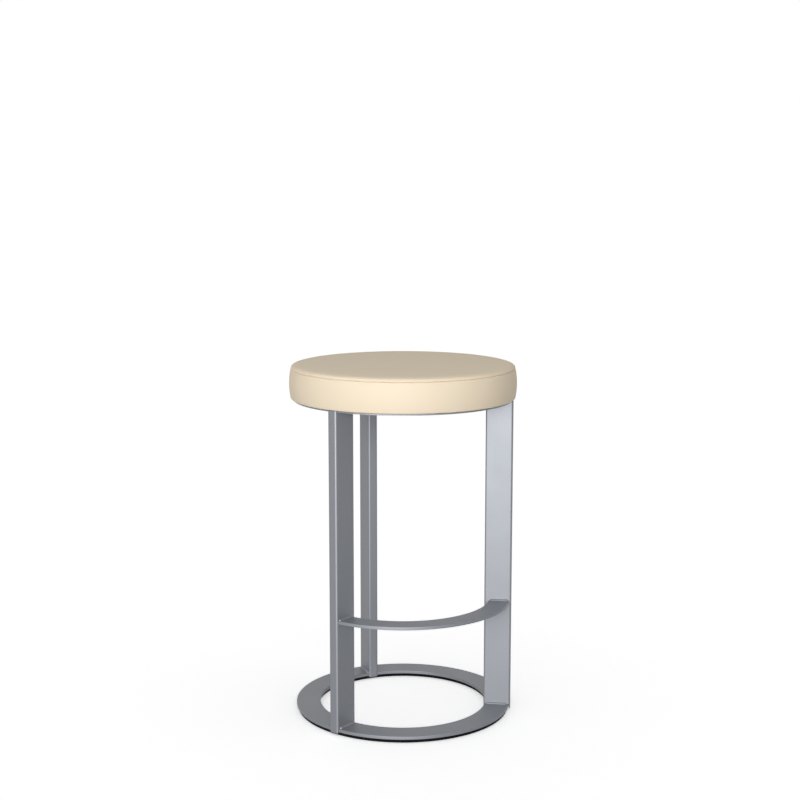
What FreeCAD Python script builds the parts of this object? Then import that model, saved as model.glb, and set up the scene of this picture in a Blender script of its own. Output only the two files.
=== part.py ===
import FreeCAD, Part

import math
import os

# A fixed round counter stool. Millimetres, +Z up, origin on the floor at the middle of the ring.
# The footrest faces -Y, and one of the three uprights stands at the rear, at +Y.

# Floor ring: flat steel plate, cut to a ring, with its sharp corners broken
RING_OUTER_RADIUS = 204.0
RING_WIDTH = 45.5
RING_THICKNESS = 6.0
RING_CORNER = 0.5

# Glide ring: the black ring that the steel one rests on, stuck to it with thin tape
GLIDE_THICKNESS = 6.0
GLIDE_INSET = 3.0
GLIDE_CORNER = 0.8
TAPE_THICKNESS = 0.5
TAPE_INSET = 3.0

# Frame: three rectangular tubes from the floor ring to the seat plate
FRAME_HEIGHT = 598.0
UPRIGHT_NAMES = ("rear", "front_left", "front_right")
REAR_DEGREES = 90.0
UPRIGHT_BREADTH = 19.0
UPRIGHT_WALL = 2.0
UPRIGHT_CORNER = 3.5
LAP_CLEARANCE = 0.5
FOOT_DROP = 2.0

# Seat plate: a thinner ring of the same outline as the floor ring
SEAT_PLATE_THICKNESS = 2.5
SEAT_PLATE_CORNER = 0.3

# Footrest: flat bar, rolled to the floor ring's curve and set between the front uprights
FOOTREST_TOP = 215.5
FOOTREST_WIDTH = 38.0
FOOTREST_THICKNESS = 6.0
FOOTREST_SETBACK = 0.5
FOOTREST_CORNER = 0.5

# Welds: small fillet beads along the flat sides of the tubes
WELD_LEG = 2.5
WELD_END_GAP = 1.0

# Cushion: a boxed round seat, measured over its cover
CUSHION_OVERHANG = 8.5
BAND_HEIGHT = 55.5
BAND_BULGE = 3.0
BAND_LOWER_RADIUS = 3.0
SHOULDER_WIDTH = 18.0
SHOULDER_RISE = 8.2
SHOULDER_EDGE_RADIUS = 4.5
CROWN_RISE = 1.2
COVER_THICKNESS = 1.2
SEAM_GROOVE = 0.9
SEAM_ALLOWANCE = 8.0
TURN_IN_WIDTH = 50.0
FILL_CLEARANCE = 0.3
WADDING_THICKNESS = 6.0
FOAM_EDGE_RADIUS = 8.0
BOARD_THICKNESS = 15.0
DUST_COVER_THICKNESS = 0.8
DUST_COVER_MARGIN = 4.0

# Seat fixings: button-head screws from below, near the plate's inner rim, into pronged inserts
SCREW_SPREAD_DEGREES = 25.0
SCREW_INSET = 10.0
SCREW_RADIUS = 3.0
SCREW_LENGTH = 20.0
SCREW_HEAD_RADIUS = 5.25
SCREW_HEAD_HEIGHT = 3.3
SOCKET_FLATS = 4.0
SOCKET_DEPTH = 2.0
SCREW_HOLE_CLEARANCE = 0.4
WASHER_RADIUS = 6.0
WASHER_THICKNESS = 1.6
THREAD_CLEARANCE = 0.1
INSERT_BARREL_WALL = 1.2
INSERT_BARREL_LENGTH = 12.0
INSERT_FLANGE_RADIUS = 9.5
INSERT_FLANGE_THICKNESS = 1.5
PRONG_COUNT = 4
PRONG_LENGTH = 6.0
PRONG_BREADTH = 3.0
PRONG_THICKNESS = 1.2

# Staples: wide-crown staples in the underside of the board
STAPLE_CROWN = 10.0
STAPLE_LEG = 8.0
STAPLE_WIRE_DEPTH = 0.6
STAPLE_WIRE_BREADTH = 0.9
COVER_STAPLE_COUNT = 36
COVER_STAPLE_INSET = 15.0
DUST_STAPLE_COUNT = 18
DUST_STAPLE_INSET = 8.0

# Places that follow from the sizes above
BAY_DEGREES = 360 / len(UPRIGHT_NAMES)
UPRIGHT_DEGREES = {name: REAR_DEGREES + BAY_DEGREES * index for index, name in enumerate(UPRIGHT_NAMES)}
TAPE_LOW = GLIDE_THICKNESS
RING_LOW = TAPE_LOW + TAPE_THICKNESS
RING_TOP = RING_LOW + RING_THICKNESS
RING_INNER_RADIUS = RING_OUTER_RADIUS - RING_WIDTH
RING_MID_RADIUS = RING_OUTER_RADIUS - RING_WIDTH / 2
UPRIGHT_DEPTH = RING_WIDTH + 2 * (LAP_CLEARANCE + UPRIGHT_WALL)
SEAT_PLATE_LOW = FRAME_HEIGHT - SEAT_PLATE_THICKNESS
FOOTREST_OUTER_RADIUS = RING_OUTER_RADIUS - FOOTREST_SETBACK
FOOTREST_INNER_RADIUS = FOOTREST_OUTER_RADIUS - FOOTREST_WIDTH
FOOTREST_LOW = FOOTREST_TOP - FOOTREST_THICKNESS
CUSHION_LOW = FRAME_HEIGHT + DUST_COVER_THICKNESS
CUSHION_RADIUS = RING_OUTER_RADIUS + CUSHION_OVERHANG
SEAM_RADIUS = CUSHION_RADIUS - BAND_BULGE
SEAM_HEIGHT = CUSHION_LOW + BAND_HEIGHT
BOARD_LOW = CUSHION_LOW + COVER_THICKNESS
BOARD_TOP = BOARD_LOW + BOARD_THICKNESS
SKIRT_OUTER_RADIUS = SEAM_RADIUS - COVER_THICKNESS - THREAD_CLEARANCE
SKIRT_INNER_RADIUS = SKIRT_OUTER_RADIUS - COVER_THICKNESS
FILL_INSET = COVER_THICKNESS + FILL_CLEARANCE
FOAM_RADIUS = SKIRT_INNER_RADIUS - FILL_CLEARANCE - WADDING_THICKNESS
FOAM_TOP = SEAM_HEIGHT + SHOULDER_RISE - FILL_INSET - WADDING_THICKNESS

ORIGIN = FreeCAD.Vector(0, 0, 0)
UP = FreeCAD.Vector(0, 0, 1)


def point(radius, height):
    """A point in the section plane, at a radius from the stool's axis and a height."""
    return FreeCAD.Vector(radius, 0, height)


def on_circle(centre, radius, degrees):
    """A point of a circle in the section plane, with 90 degrees straight up."""
    angle = math.radians(degrees)
    return centre + point(radius * math.cos(angle), radius * math.sin(angle))


def arc(centre, radius, start, end):
    """An arc in the section plane between two angles in degrees."""
    middle = on_circle(centre, radius, (start + end) / 2)
    return Part.Arc(on_circle(centre, radius, start), middle, on_circle(centre, radius, end)).toShape()


def line(start, end):
    return Part.makeLine(start, end)


def revolved(edges):
    """The solid that a closed outline in the section plane sweeps about the stool's axis."""
    return Part.Face(Part.Wire(edges)).revolve(ORIGIN, UP, 360)


def ring(outer, inner, low, high, corner=0.0):
    """A flat ring, with its four corners broken by a small chamfer where corner isn't zero."""
    if corner == 0.0:
        corners = [point(inner, low), point(outer, low), point(outer, high), point(inner, high)]
    else:
        corners = [
            point(inner + corner, low),
            point(outer - corner, low),
            point(outer, low + corner),
            point(outer, high - corner),
            point(outer - corner, high),
            point(inner + corner, high),
            point(inner, high - corner),
            point(inner, low + corner),
        ]
    return Part.Face(Part.makePolygon(corners + corners[:1])).revolve(ORIGIN, UP, 360)


def cylinder(radius, low, high, x=0.0, y=0.0):
    return Part.makeCylinder(radius, high - low, FreeCAD.Vector(x, y, low))


def turned(shape, degrees):
    """A copy of a shape, turned about the stool's axis."""
    copy = shape.copy()
    copy.rotate(ORIGIN, UP, degrees)
    return copy


def rounded_bar(depth, breadth, corner, low, high):
    """An upright bar of rounded rectangular section, centred on the ring's width along +X."""
    start = FreeCAD.Vector(RING_MID_RADIUS - depth / 2, -breadth / 2, low)
    bar = Part.makeBox(depth, breadth, high - low, start)
    standing = [edge for edge in bar.Edges if abs(edge.BoundBox.ZLength - (high - low)) < 0.001]
    return bar.makeFillet(corner, standing)


def make_upright():
    """A tube whose narrow walls lap the rims of both rings, and whose broad walls butt on them."""
    foot = RING_LOW - FOOT_DROP
    outside = rounded_bar(UPRIGHT_DEPTH, UPRIGHT_BREADTH, UPRIGHT_CORNER, foot, FRAME_HEIGHT)
    bore_depth = UPRIGHT_DEPTH - 2 * UPRIGHT_WALL
    bore_breadth = UPRIGHT_BREADTH - 2 * UPRIGHT_WALL
    bore_corner = UPRIGHT_CORNER - UPRIGHT_WALL
    bore = rounded_bar(bore_depth, bore_breadth, bore_corner, foot, FRAME_HEIGHT)
    notch_outer = RING_OUTER_RADIUS + LAP_CLEARANCE
    notch_inner = RING_INNER_RADIUS - LAP_CLEARANCE
    floor_notch = ring(notch_outer, notch_inner, foot, RING_TOP)
    seat_notch = ring(notch_outer, notch_inner, SEAT_PLATE_LOW, FRAME_HEIGHT)
    return outside.cut(bore).cut(floor_notch).cut(seat_notch)


def make_footrest():
    """The rolled bar, cut square to lie against the flat sides of the two front uprights."""
    hoop = ring(FOOTREST_OUTER_RADIUS, FOOTREST_INNER_RADIUS, FOOTREST_LOW, FOOTREST_TOP, FOOTREST_CORNER)
    reach = 2 * FOOTREST_OUTER_RADIUS
    side = UPRIGHT_BREADTH / 2
    beyond_right = Part.makeBox(2 * reach, reach, FOOTREST_TOP, FreeCAD.Vector(-reach, -side, 0))
    beyond_left = Part.makeBox(2 * reach, reach, FOOTREST_TOP, FreeCAD.Vector(-reach, side - reach, 0))
    hoop = hoop.cut(turned(beyond_right, UPRIGHT_DEGREES["front_right"]))
    return hoop.cut(turned(beyond_left, UPRIGHT_DEGREES["front_left"]))


def bead(side, root, rise, start, end):
    """A fillet bead against one flat side of an upright along +X: side is 1 or -1, rise is 1 or -1."""
    face_y = side * UPRIGHT_BREADTH / 2
    outline = [
        FreeCAD.Vector(start, face_y, root),
        FreeCAD.Vector(start, face_y + side * WELD_LEG, root),
        FreeCAD.Vector(start, face_y, root + rise * WELD_LEG),
    ]
    return Part.Face(Part.makePolygon(outline + outline[:1])).extrude(FreeCAD.Vector(end - start, 0, 0))


def make_ring_welds(root, rise):
    """Beads on both flat sides of all three uprights, on the floor ring or under the seat plate."""
    start = RING_MID_RADIUS - UPRIGHT_DEPTH / 2 + UPRIGHT_CORNER + WELD_END_GAP
    end = RING_MID_RADIUS + UPRIGHT_DEPTH / 2 - UPRIGHT_CORNER - WELD_END_GAP
    beads = []
    for degrees in UPRIGHT_DEGREES.values():
        for side in (1, -1):
            beads.append(turned(bead(side, root, rise, start, end), degrees))
    return Part.makeCompound(beads)


def make_footrest_welds():
    """Beads over and under both ends of the footrest."""
    start = FOOTREST_INNER_RADIUS + WELD_END_GAP
    end = FOOTREST_OUTER_RADIUS - WELD_END_GAP
    beads = []
    for name, side in (("front_right", -1), ("front_left", 1)):
        for root, rise in ((FOOTREST_TOP, 1), (FOOTREST_LOW, -1)):
            beads.append(turned(bead(side, root, rise, start, end), UPRIGHT_DEGREES[name]))
    return Part.makeCompound(beads)


def screw_positions():
    """Two screws in each bay between uprights, one each side of the bay's middle."""
    radius = RING_INNER_RADIUS + SCREW_INSET
    for degrees in UPRIGHT_DEGREES.values():
        for side in (1, -1):
            angle = math.radians(degrees + BAY_DEGREES / 2 + side * SCREW_SPREAD_DEGREES)
            yield radius * math.cos(angle), radius * math.sin(angle)


def at_screws(shape):
    """Copies of a shape made on the stool's axis, one at each seat screw."""
    copies = []
    for x, y in screw_positions():
        copy = shape.copy()
        copy.translate(FreeCAD.Vector(x, y, 0))
        copies.append(copy)
    return Part.makeCompound(copies)


def make_seat_plate():
    plate = ring(RING_OUTER_RADIUS, RING_INNER_RADIUS, SEAT_PLATE_LOW, FRAME_HEIGHT, SEAT_PLATE_CORNER)
    hole = cylinder(SCREW_RADIUS + SCREW_HOLE_CLEARANCE, SEAT_PLATE_LOW, FRAME_HEIGHT)
    return plate.cut(at_screws(hole))


def make_screw():
    """A button-head screw: a dome with a hexagon socket, under the washer, and a plain shank."""
    seat = SEAT_PLATE_LOW - WASHER_THICKNESS
    head_low = seat - SCREW_HEAD_HEIGHT
    dome_radius = (SCREW_HEAD_RADIUS**2 + SCREW_HEAD_HEIGHT**2) / (2 * SCREW_HEAD_HEIGHT)
    dome = Part.makeSphere(dome_radius, FreeCAD.Vector(0, 0, head_low + dome_radius))
    head = cylinder(SCREW_HEAD_RADIUS, head_low, seat).common(dome)
    corner_radius = SOCKET_FLATS / 2 / math.cos(math.pi / 6)
    corners = []
    for index in range(7):
        angle = math.radians(60 * index)
        corner = FreeCAD.Vector(corner_radius * math.cos(angle), corner_radius * math.sin(angle), head_low)
        corners.append(corner)
    socket = Part.Face(Part.makePolygon(corners)).extrude(FreeCAD.Vector(0, 0, SOCKET_DEPTH))
    shank = cylinder(SCREW_RADIUS, seat, seat + SCREW_LENGTH)
    return head.cut(socket).fuse(shank).removeSplitter()


def make_washer():
    disc = cylinder(WASHER_RADIUS, SEAT_PLATE_LOW - WASHER_THICKNESS, SEAT_PLATE_LOW)
    hole = cylinder(SCREW_RADIUS + SCREW_HOLE_CLEARANCE, SEAT_PLATE_LOW - WASHER_THICKNESS, SEAT_PLATE_LOW)
    return disc.cut(hole)


def make_insert():
    """A threaded insert: a flange flush with the board's top, a barrel and four prongs below it."""
    flange_low = BOARD_TOP - INSERT_FLANGE_THICKNESS
    bore_radius = SCREW_RADIUS + THREAD_CLEARANCE
    barrel = cylinder(bore_radius + INSERT_BARREL_WALL, BOARD_TOP - INSERT_BARREL_LENGTH, BOARD_TOP)
    body = cylinder(INSERT_FLANGE_RADIUS, flange_low, BOARD_TOP).fuse(barrel)
    prong_start = INSERT_FLANGE_RADIUS - PRONG_THICKNESS
    for index in range(PRONG_COUNT):
        corner = FreeCAD.Vector(prong_start - PRONG_THICKNESS, -PRONG_BREADTH / 2, flange_low - PRONG_LENGTH)
        prong = Part.makeBox(PRONG_THICKNESS, PRONG_BREADTH, PRONG_LENGTH, corner)
        body = body.fuse(turned(prong, 360 / PRONG_COUNT * index))
    return body.removeSplitter().cut(cylinder(bore_radius, BOARD_TOP - INSERT_BARREL_LENGTH, BOARD_TOP))


def staples(count, radius, surface):
    """Staples on a circle, with their crowns across it and their legs up into the board."""
    low = surface - STAPLE_WIRE_DEPTH
    start = radius - STAPLE_WIRE_BREADTH / 2
    half = STAPLE_CROWN / 2
    crown = Part.makeBox(STAPLE_WIRE_BREADTH, STAPLE_CROWN, STAPLE_WIRE_DEPTH, FreeCAD.Vector(start, -half, low))
    leg_height = STAPLE_WIRE_DEPTH + STAPLE_LEG
    left = Part.makeBox(STAPLE_WIRE_BREADTH, STAPLE_WIRE_DEPTH, leg_height, FreeCAD.Vector(start, -half, low))
    right_corner = FreeCAD.Vector(start, half - STAPLE_WIRE_DEPTH, low)
    right = Part.makeBox(STAPLE_WIRE_BREADTH, STAPLE_WIRE_DEPTH, leg_height, right_corner)
    staple = crown.fuse(left).fuse(right).removeSplitter()
    return Part.makeCompound([turned(staple, 360 / count * (index + 0.5)) for index in range(count)])


def band_outline(inset):
    """Arcs of the band's side from its lower edge up to the seam, moved in from the cover's outside."""
    half_height = BAND_HEIGHT / 2
    side_radius = (half_height**2 + BAND_BULGE**2) / (2 * BAND_BULGE)
    side_centre = point(CUSHION_RADIUS - side_radius, SEAM_HEIGHT - half_height)
    drop = half_height - BAND_LOWER_RADIUS
    reach = math.sqrt((side_radius - BAND_LOWER_RADIUS) ** 2 - drop**2)
    edge_centre = side_centre + point(reach, -drop)
    tangent = -math.degrees(math.atan2(drop, reach))
    seam_angle = math.degrees(math.asin(half_height / (side_radius - inset)))
    lower = arc(edge_centre, BAND_LOWER_RADIUS - inset, -90, tangent)
    side = arc(side_centre, side_radius - inset, tangent, seam_angle)
    return lower, side


def ends(edge):
    """An edge's two end points, the lower one first, and the inner one first where they are level."""
    return sorted((vertex.Point for vertex in edge.Vertexes), key=lambda end: (round(end.z, 6), end.x))


def panel_outline(inset):
    """Arcs of the top panel from the seam over the shoulder to the middle of the crown."""
    edge_centre = point(SEAM_RADIUS - SHOULDER_EDGE_RADIUS, SEAM_HEIGHT)
    spare = SHOULDER_RISE - SHOULDER_EDGE_RADIUS
    square = SHOULDER_WIDTH**2 + SHOULDER_RISE**2
    top_radius = (square - 2 * SHOULDER_WIDTH * SHOULDER_EDGE_RADIUS) / (2 * spare)
    top_centre = point(SEAM_RADIUS - SHOULDER_WIDTH, SEAM_HEIGHT + SHOULDER_RISE - top_radius)
    between = edge_centre - top_centre
    tangent = math.degrees(math.atan2(between.z, between.x))
    edge = arc(edge_centre, SHOULDER_EDGE_RADIUS - inset, 0, tangent)
    top = arc(top_centre, top_radius - inset, tangent, 90)
    rim = SEAM_RADIUS - SHOULDER_WIDTH
    crown_radius = (rim**2 + CROWN_RISE**2) / (2 * CROWN_RISE)
    crown_start = on_circle(top_centre, top_radius - inset, 90)
    crown_top = point(0, SEAM_HEIGHT + SHOULDER_RISE + CROWN_RISE - inset)
    half_fall = crown_radius - math.sqrt(crown_radius**2 - (rim / 2) ** 2)
    crown = Part.Arc(crown_start, crown_top + point(rim / 2, -half_fall), crown_top).toShape()
    return edge, top, crown


def seam_groove():
    """The dip that the seam pulls into the cover, half in the panel and half in the band."""
    return Part.makeTorus(SEAM_RADIUS, SEAM_GROOVE, FreeCAD.Vector(0, 0, SEAM_HEIGHT))


def make_side_band():
    """The cover's side, wrapped under the board's edge and turned in beneath it."""
    outer_lower, outer_side = band_outline(0)
    inner_lower, inner_side = band_outline(COVER_THICKNESS)
    hem_radius = CUSHION_RADIUS - BAND_BULGE - TURN_IN_WIDTH
    hem = [point(hem_radius, CUSHION_LOW), point(hem_radius, CUSHION_LOW + COVER_THICKNESS)]
    section = [
        line(hem[0], ends(outer_lower)[0]),
        outer_lower,
        outer_side,
        line(ends(outer_side)[1], ends(inner_side)[1]),
        inner_side,
        inner_lower,
        line(ends(inner_lower)[0], hem[1]),
        line(hem[1], hem[0]),
    ]
    return revolved(section).cut(seam_groove())


def make_top_panel():
    """The crowned top of the cover, with its seam allowance folded down behind the band."""
    outer_edge, outer_top, outer_crown = panel_outline(0)
    inner_edge, inner_top, inner_crown = panel_outline(COVER_THICKNESS)
    section = [
        outer_edge,
        outer_top,
        outer_crown,
        line(ends(outer_crown)[1], ends(inner_crown)[1]),
        inner_crown,
        inner_top,
        inner_edge,
        line(ends(inner_edge)[0], ends(outer_edge)[0]),
    ]
    panel = revolved(section)
    fold_top = SEAM_HEIGHT + COVER_THICKNESS
    skirt = ring(SKIRT_OUTER_RADIUS, SKIRT_INNER_RADIUS, SEAM_HEIGHT - SEAM_ALLOWANCE, fold_top)
    fold = ring(SEAM_RADIUS - COVER_THICKNESS / 2, SKIRT_INNER_RADIUS, SEAM_HEIGHT, fold_top)
    return panel.fuse(skirt).fuse(fold).cut(seam_groove())


def make_foam():
    """A foam disc with its upper edge rounded off, as high as the wadding over it allows."""
    block = cylinder(FOAM_RADIUS, BOARD_TOP, FOAM_TOP)
    upper = [edge for edge in block.Edges if edge.BoundBox.ZMin > FOAM_TOP - 0.001]
    return block.makeFillet(FOAM_EDGE_RADIUS, upper)


def make_wadding(foam):
    """The soft layer that fills the cover over the top and down the side of the foam."""
    side = band_outline(FILL_INSET)[1]
    seam_end = ends(side)[1]
    below = revolved([
        side,
        line(seam_end, point(0, seam_end.z)),
        line(point(0, seam_end.z), point(0, ends(side)[0].z)),
        line(point(0, ends(side)[0].z), ends(side)[0]),
    ])
    below = below.common(cylinder(CUSHION_RADIUS, BOARD_TOP, SEAM_HEIGHT + SHOULDER_RISE))
    edge, top, crown = panel_outline(FILL_INSET)
    crown_end = ends(crown)[1]
    above = revolved([
        edge,
        top,
        crown,
        line(crown_end, point(0, SEAM_HEIGHT)),
        line(point(0, SEAM_HEIGHT), ends(edge)[0]),
    ])
    fold_space = ring(
        CUSHION_RADIUS,
        SKIRT_INNER_RADIUS - FILL_CLEARANCE,
        SEAM_HEIGHT - SEAM_ALLOWANCE - FILL_CLEARANCE,
        SEAM_HEIGHT + COVER_THICKNESS + FILL_CLEARANCE,
    )
    return below.fuse(above).cut(fold_space).cut(foam).removeSplitter()


def make_board():
    """Plywood disc that fills the foot of the cover, before its pockets and staple holes."""
    lower, side = band_outline(FILL_INSET)
    edge_radius = ends(lower)[1].x
    board = cylinder(edge_radius, BOARD_LOW, BOARD_TOP)
    underside = [edge for edge in board.Edges if edge.BoundBox.ZMax < BOARD_LOW + 0.001]
    return board.makeFillet(BAND_LOWER_RADIUS - COVER_THICKNESS, underside)


glide_outer = RING_OUTER_RADIUS - GLIDE_INSET
glide_inner = RING_INNER_RADIUS + GLIDE_INSET
glide = ring(glide_outer, glide_inner, 0, GLIDE_THICKNESS, GLIDE_CORNER)
tape = ring(glide_outer - TAPE_INSET, glide_inner + TAPE_INSET, TAPE_LOW, RING_LOW)
base_ring = ring(RING_OUTER_RADIUS, RING_INNER_RADIUS, RING_LOW, RING_TOP, RING_CORNER)

cover_staple_radius = SEAM_RADIUS - COVER_STAPLE_INSET
cover_staples = staples(COVER_STAPLE_COUNT, cover_staple_radius, CUSHION_LOW)
dust_staple_radius = RING_INNER_RADIUS - DUST_STAPLE_INSET
dust_staples = staples(DUST_STAPLE_COUNT, dust_staple_radius, FRAME_HEIGHT)
inserts = at_screws(make_insert())
screw_way = cylinder(SCREW_RADIUS + SCREW_HOLE_CLEARANCE, FRAME_HEIGHT, BOARD_TOP)
screw_ways = at_screws(screw_way)

board = make_board().cut(screw_ways).cut(inserts).cut(cover_staples).cut(dust_staples)
side_band = make_side_band().cut(screw_ways).cut(cover_staples)
dust_cover_radius = cover_staple_radius - DUST_COVER_MARGIN
dust_cover = cylinder(dust_cover_radius, FRAME_HEIGHT, CUSHION_LOW).cut(screw_ways).cut(dust_staples)
foam = make_foam()

nodes = {
    "glide_ring": glide,
    "glide_tape": tape,
    "base_ring": base_ring,
    "footrest_bar": make_footrest(),
    "seat_plate": make_seat_plate(),
    "base_welds": make_ring_welds(RING_TOP, 1),
    "top_welds": make_ring_welds(SEAT_PLATE_LOW, -1),
    "footrest_welds": make_footrest_welds(),
    "seat_screws": at_screws(make_screw()),
    "screw_washers": at_screws(make_washer()),
    "tee_nuts": inserts,
    "seat_board": board,
    "cover_staples": cover_staples,
    "dust_cover": dust_cover,
    "dust_cover_staples": dust_staples,
    "seat_foam": foam,
    "seat_wadding": make_wadding(foam),
    "cover_side_band": side_band,
    "cover_top_panel": make_top_panel(),
}
upright = make_upright()
for name, degrees in UPRIGHT_DEGREES.items():
    nodes["upright_" + name] = turned(upright, degrees)

os.makedirs("parts", exist_ok=True)
for name, shape in nodes.items():
    shape.exportStep("parts/" + name + ".step")
    print(name, len(shape.Solids), "solids,", round(shape.Volume), "mm3, valid", shape.isValid())
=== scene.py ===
import math

import bmesh
import bpy
from mathutils import Matrix, Vector


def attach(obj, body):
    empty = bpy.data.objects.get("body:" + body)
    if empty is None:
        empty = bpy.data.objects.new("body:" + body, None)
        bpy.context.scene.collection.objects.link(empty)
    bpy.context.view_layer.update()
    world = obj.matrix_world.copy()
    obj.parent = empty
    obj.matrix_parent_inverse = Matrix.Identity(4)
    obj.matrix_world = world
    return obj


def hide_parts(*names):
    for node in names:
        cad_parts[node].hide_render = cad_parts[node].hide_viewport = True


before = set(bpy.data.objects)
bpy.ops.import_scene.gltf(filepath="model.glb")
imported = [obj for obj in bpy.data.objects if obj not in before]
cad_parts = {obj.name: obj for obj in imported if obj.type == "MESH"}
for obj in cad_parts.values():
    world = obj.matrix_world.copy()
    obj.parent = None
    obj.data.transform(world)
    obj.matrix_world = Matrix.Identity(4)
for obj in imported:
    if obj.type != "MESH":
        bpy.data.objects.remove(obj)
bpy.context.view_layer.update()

# The studio. A pale seamless floor in a pale room, a broad lamp and a bright card on each side of
# the camera, and a low soft lamp behind. Only the sheen of the finishes mirrors the cards. The seen
# floor reflects more than paint can, so that its shadow is as deep as in a brighter room.
MM = 0.001
VIEW_AZIMUTH = math.radians(-22.26)
VIEW_PITCH = math.radians(8.53)
VIEW_DISTANCE = 2763 * MM
VIEW_HEIGHT = 1007.3 * MM
VIEW_SIDE = -5.65 * MM
FIELD_OF_VIEW = math.radians(30)
SENSOR_WIDTH = 36
FLOOR_SIZE = 24000 * MM
FLOOR_GLOW = 0.455
FLOOR_SHADE = 1.7
ROOM_FILL = 0.33
LAMP_AIM = Vector((0, 0, 450 * MM))
LAMP_DISTANCE = 3200 * MM
LAMP_HEIGHT = 1350 * MM
LAMP_WIDTH = 1100 * MM
REAR_LAMP_HEIGHT = 300 * MM
CARD_DISTANCE = 3000 * MM
CARD_HEIGHT = 600 * MM
CARD_WIDTH = 800 * MM

# Each lamp and card has its azimuth and its power in watts.
LEFT_LAMP = (math.radians(-48), 33)
RIGHT_LAMP = (math.radians(-20), 34.5)
REAR_LAMP = (math.radians(170), 24)
LEFT_CARD = (math.radians(-42), 72)
RIGHT_CARD = (math.radians(-18), 74)


def around(azimuth, distance, height):
    """A point at an azimuth about the stool, where 0 is in front of it, at -Y."""
    return Vector((math.sin(azimuth) * distance, -math.cos(azimuth) * distance, height))


def aim(thing, direction):
    """Turns a lamp or the camera to look along a direction."""
    thing.rotation_euler = direction.to_track_quat("-Z", "Y").to_euler()


def linear(hex_colour):
    """An sRGB hex colour as linear red, green, blue and alpha."""
    channels = []
    for start in (1, 3, 5):
        value = int(hex_colour[start:start + 2], 16) / 255
        channels.append(value / 12.92 if value <= 0.04045 else ((value + 0.055) / 1.055) ** 2.4)
    return (*channels, 1.0)


def empty_tree(owner):
    """The node tree of a material or of the world, with nothing in it."""
    owner.use_nodes = True
    owner.node_tree.nodes.clear()
    return owner.node_tree


def add_node(tree, kind, settings=(), links=()):
    """Adds a node, with settings as (property or socket, value) and links as (socket, source)."""
    node = tree.nodes.new(kind)
    for name, value in settings:
        if isinstance(name, str) and hasattr(node, name):
            setattr(node, name, value)
        else:
            node.inputs[name].default_value = value
    for name, source in links:
        output = source.outputs[0] if hasattr(source, "outputs") else source
        tree.links.new(output, node.inputs[name])
    return node


def part_by_sight(tree, unseen, seen):
    """Shows one shader to the camera, mirrors and glass, and the other to light in the shadows."""
    path = add_node(tree, "ShaderNodeLightPath")
    sight = [(0, path.outputs["Is Camera Ray"]), (1, path.outputs["Is Glossy Ray"])]
    either = add_node(tree, "ShaderNodeMath", [("operation", "MAXIMUM")], sight)
    through = [(0, either), (1, path.outputs["Is Transmission Ray"])]
    direct = add_node(tree, "ShaderNodeMath", [("operation", "MAXIMUM")], through)
    return add_node(tree, "ShaderNodeMixShader", (), [(0, direct), (1, unseen), (2, seen)])


def add_object(name, data):
    """Puts a lamp, a camera or a mesh in the scene, at the origin."""
    added = bpy.data.objects.new(name, data)
    bpy.context.scene.collection.objects.link(added)
    return added


def mesh_of(form, name):
    """Turns a finished shape into a mesh."""
    mesh = bpy.data.meshes.new(name)
    form.to_mesh(mesh)
    form.free()
    return mesh


def studio_lamp(name, azimuth_and_power, distance, height, width):
    """A round lamp that looks at the stool and doesn't show itself."""
    azimuth, power = azimuth_and_power
    data = bpy.data.lights.new(name, "AREA")
    data.shape = "DISK"
    data.size = width
    data.energy = power
    lamp = add_object(name, data)
    lamp.location = around(azimuth, distance, height)
    aim(lamp, LAMP_AIM - lamp.location)
    lamp.visible_camera = False
    return lamp


# The stool is seen from its front left, from above the seat.
camera_data = bpy.data.cameras.new("camera")
camera_data.sensor_width = SENSOR_WIDTH
camera_data.lens = SENSOR_WIDTH / 2 / math.tan(FIELD_OF_VIEW / 2)
camera = add_object("camera", camera_data)
sideways = Vector((math.cos(VIEW_AZIMUTH), math.sin(VIEW_AZIMUTH), 0))
camera.location = around(VIEW_AZIMUTH, VIEW_DISTANCE, VIEW_HEIGHT) + sideways * VIEW_SIDE
aim(camera, -around(VIEW_AZIMUTH, math.cos(VIEW_PITCH), math.sin(VIEW_PITCH)))
bpy.context.scene.camera = camera
bpy.context.scene.view_settings.view_transform = "Standard"

# The room shows white, and lights the stool and the floor with less than that.
world = bpy.data.worlds.new("pale_room")
bpy.context.scene.world = world
room_tree = empty_tree(world)
fill_settings = [("Color", linear("#FFFFFF")), ("Strength", ROOM_FILL)]
fill = add_node(room_tree, "ShaderNodeBackground", fill_settings)
backdrop_settings = [("Color", linear("#FFFFFF")), ("Strength", 1.0)]
backdrop = add_node(room_tree, "ShaderNodeBackground", backdrop_settings)
room = part_by_sight(room_tree, fill, backdrop)
add_node(room_tree, "ShaderNodeOutputWorld", (), [("Surface", room)])

cards = [
    studio_lamp("left_card", LEFT_CARD, CARD_DISTANCE, CARD_HEIGHT, CARD_WIDTH),
    studio_lamp("right_card", RIGHT_CARD, CARD_DISTANCE, CARD_HEIGHT, CARD_WIDTH),
]
for card in cards:
    card.visible_diffuse = False
rear_lamp = studio_lamp("rear_lamp", REAR_LAMP, LAMP_DISTANCE, REAR_LAMP_HEIGHT, LAMP_WIDTH)
rear_lamp.visible_glossy = False
lamps = cards + [
    rear_lamp,
    studio_lamp("left_lamp", LEFT_LAMP, LAMP_DISTANCE, LAMP_HEIGHT, LAMP_WIDTH),
    studio_lamp("right_lamp", RIGHT_LAMP, LAMP_DISTANCE, LAMP_HEIGHT, LAMP_WIDTH),
]

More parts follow.
